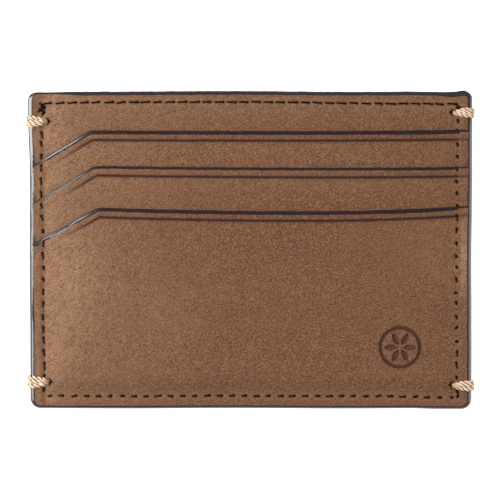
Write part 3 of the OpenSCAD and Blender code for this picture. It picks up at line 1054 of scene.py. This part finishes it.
def add_yarn(name, tubes, turn, material, node, shaded_where=None):
    """One piece from the tubes of its plies, with painted shade in their grooves and where the given
    rule says.
    """
    points, faces = stack_of(tubes)
    yarn_shade = points[:, 3] if shaded_where is None else np.maximum(points[:, 3], shaded_where(points[:, 0]))
    piece = add_piece(name, in_frame(points[:, :3], turn), faces, material,
                      {"yarn_shade": yarn_shade}, sharp=60)
    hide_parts(node)


def stitch_tubes(rows, radius):
    """A twisted thread for each stitch, up out of its hole, along the leather and down again."""
    run_on, dip, sunk = 0.22, 0.62, 0.07
    tubes = []
    for number, (ax, ay, bx, by) in enumerate(rows):
        length = math.hypot(bx - ax, by - ay)
        past = run_on / length
        share = np.linspace(-past, 1 + past, 13)
        x, y = ax + (bx - ax) * share, ay + (by - ay) * share
        arch = np.abs(2 * (share - 0.5) / (1 + 2 * past))
        z = even_height(x, y, 0.4) - sunk - dip * arch ** 5
        path = np.stack([x, y, z], 1)
        square = (-(by - ay) / length, (bx - ax) / length, 0)
        runs_across = abs(bx - ax) > abs(by - ay)
        thick = radius * (1.14 if runs_across else 0.86)
        tubes += twisted(path, square, 3, thick * 0.54, thick * 0.52, 1.0, 5, number * 1.7)
    return tubes


def make_threads(half_name):
    half = HALVES[half_name]
    for name, rows, radius in ((f"side_seam_{half_name}_thread", half["seams"]["sides"], THREAD_R),
                               (f"{half_name}_top_thread", half["seams"]["top"], TOP_THREAD_R)):
        tubes = stitch_tubes(rows, radius)
        add_yarn(name + "_stitches", tubes, half["turn"], THREAD, name)


def make_stop_thread(half_name, position):
    """A card-stop seam inside the pockets, where a lining holds the cards up."""
    half = HALVES[half_name]
    node = f"{half_name}_stop_thread_{position}"
    y = STOP_Y[position]
    low, high = levels(f"stop_thread_{position}")
    holes = level_holes(y, STOP_X, BOTTOM_STITCHES - 4)
    tubes = []
    for a, b in zip(holes, holes[1:]):
        share = np.linspace(0, 1, 9)
        x = a[0] + (b[0] - a[0]) * share
        arch = np.abs(2 * share - 1) ** 6
        z = settle(x, y, high - 0.07 - (high - low - 0.2) * arch)
        path = np.stack([x, np.full(9, y), z], 1)
        tubes += twisted(path, (0, 1, 0), 2, 0.055, 0.05, 0.9, 5)
    add_yarn(node + "_stitches", tubes, half["turn"], THREAD, node)


def tack_path(side, y, spread, lift, reach):
    """One cord of a tack: out of the front hole, round the painted edge and into the back hole.

    Each point on the way is a distance out, a height and a share of the spread.
    """
    over = []
    for turn in (1, -1):
        local = side * turn
        face = face_height(local * (TACK_HOLE_X + 1), y)
        lip = even_height(local * (EDGE_X - 1.3), y) + COAT_LIP
        over.append([
            (TACK_HOLE_X + 0.3, face - 0.95, 0.12),
            (TACK_HOLE_X + 0.5, face - 0.25 + lift * 0.4, 0.22),
            (TACK_HOLE_X + 1.15, face + CORD_R * 0.62 + lift, 0.5),
            (TACK_HOLE_X + 2.3, face + CORD_R * 0.8 + lift * 0.6, 0.82),
            (EDGE_X - 1.15, lip + CORD_R * 0.72, 1.0),
            (EDGE_X - 0.25, lip - 0.12, 1.0),
            (reach, lip - 0.8, 1.0),
        ])
    front = [(side * a, y + spread * share, z) for a, z, share in over[0]]
    back = [(side * a, y + spread * share, -z) for a, z, share in reversed(over[1])]
    return curve_through(front + back, 0.14)


# Painted shade where the cord goes down into its hole
def shade_near_hole(x):
    return 0.7 * smooth((TACK_HOLE_X + 1.5 - np.abs(x)) / 0.9)


def make_tack(name, side, seed):
    """Three twisted cords whipped round the edge at one corner."""
    node = "tack_" + name
    low, high = box_mm(node)
    y = tack_y(name)
    reach = max(abs(low[0]), abs(high[0])) - CORD_R
    dice = np.random.default_rng(seed)
    tubes = []
    for spread, lift in zip(CORD_SPREAD[side], CORD_LIFT):
        path = tack_path(side, y + dice.uniform(-0.08, 0.08), spread, lift, reach)
        tubes += twisted(path, (0, 1, 0), 2, CORD_R * 0.6, CORD_R * 0.5, 2.3, 10, dice.uniform(0, 6))
    add_yarn(node + "_cord", tubes, 1, CORD, node, shade_near_hole)


# ---- the wallet ----

for half_name in HALVES:
    make_textiles(half_name)
    make_tapes(half_name)
tape_layer("centre_seam_tape", 1, constant(EDGE_Y - 1.0), constant(-TAPE_T / 2))
for half_name in HALVES:
    make_leather(half_name)
    for slot in (UPPER, MIDDLE, LOWER):
        slot_bead(half_name, slot)
    mouth_bead(half_name)
    make_threads(half_name)
    for position in STOP_Y:
        make_stop_thread(half_name, position)
edge_coat()
for seed, (name, side) in enumerate(TACKS.items()):
    make_tack(name, side, seed)


# ---- floor, light and camera ----

def make_floor():
    mesh = bpy.data.meshes.new("floor")
    reach = 3.0
    corners = [(-reach, -reach, 0), (reach, -reach, 0), (reach, reach, 0), (-reach, reach, 0)]
    mesh.from_pydata(corners, [], [(0, 1, 2, 3)])
    floor = bpy.data.objects.new("floor", mesh)
    bpy.context.scene.collection.objects.link(floor)
    s = Shader("floor_paper", Roughness=0.9, Specular_IOR_Level=0.1, Emission_Strength=0.9)
    s.shader.inputs["Emission Color"].default_value = rgb(1, 1, 1)
    uneven = s.ramp(s.noise(60), 0.4, 0.6, 0, 0.2)
    s.to("Base Color", s.mix(uneven, rgb(0.93, 0.93, 0.93), rgb(0.90, 0.90, 0.90)))
    mesh.materials.append(s.material)


def make_light(name, azimuth, elevation, distance, width, height, power, colour=(1, 1, 1)):
    """A soft box that faces the wallet. Azimuth is counted from +X towards +Y."""
    lamp = bpy.data.lights.new(name, "AREA")
    lamp.shape = "RECTANGLE"
    lamp.size, lamp.size_y = width, height
    lamp.energy = power
    lamp.color = colour
    holder = bpy.data.objects.new(name, lamp)
    a, e = math.radians(azimuth), math.radians(elevation)
    towards = Vector((math.cos(a) * math.cos(e), math.sin(a) * math.cos(e), math.sin(e)))
    holder.location = distance * towards
    holder.rotation_euler = (-holder.location).to_track_quat("-Z", "Y").to_euler()
    holder.visible_camera = False
    bpy.context.scene.collection.objects.link(holder)


def make_camera():
    """Looks almost straight down, from a little towards the pocket mouths."""
    lens = bpy.data.cameras.new("camera")
    distance, tilt, field = 0.55, math.radians(2.5), 0.1143
    lens.sensor_width = 36
    lens.lens = 36 * distance / field
    lens.clip_start, lens.clip_end = 0.01, 20
    camera = bpy.data.objects.new("camera", lens)
    target = Vector((0, 0, (MID + 1.5) * MM))
    camera.location = target + distance * Vector((0, math.sin(tilt), math.cos(tilt)))
    camera.rotation_euler = (-tilt, 0, 0)
    bpy.context.scene.collection.objects.link(camera)
    bpy.context.scene.camera = camera


def make_world():
    """A studio that is dim overhead and white round its horizon."""
    world = bpy.data.worlds.new("studio")
    world.use_nodes = True
    tree = world.node_tree
    background = tree.nodes["Background"]
    background.inputs["Color"].default_value = rgb(1, 1, 1)
    direction = tree.nodes.new("ShaderNodeTexCoord")
    parts = tree.nodes.new("ShaderNodeSeparateXYZ")
    dim = tree.nodes.new("ShaderNodeMapRange")
    dim.interpolation_type = "SMOOTHSTEP"
    for socket, number in (("From Min", 0.2), ("From Max", 0.55), ("To Min", 1.0), ("To Max", 0.35)):
        dim.inputs[socket].default_value = number
    tree.links.new(direction.outputs["Generated"], parts.inputs["Vector"])
    tree.links.new(parts.outputs["Z"], dim.inputs["Value"])
    tree.links.new(dim.outputs["Result"], background.inputs["Strength"])
    bpy.context.scene.world = world


make_floor()
make_light("key", 170, 42, 0.75, 0.25, 0.8, 5)
make_light("second_key", 128, 42, 0.75, 0.16, 0.16, 0.8)
make_light("side_card", 190, 38, 0.75, 0.22, 0.35, 1.5)
make_light("fill", -3, 20, 0.85, 0.55, 0.7, 2.0, (0.95, 1.0, 0.86))
make_camera()
make_world()
bpy.context.scene.view_settings.view_transform = "Standard"
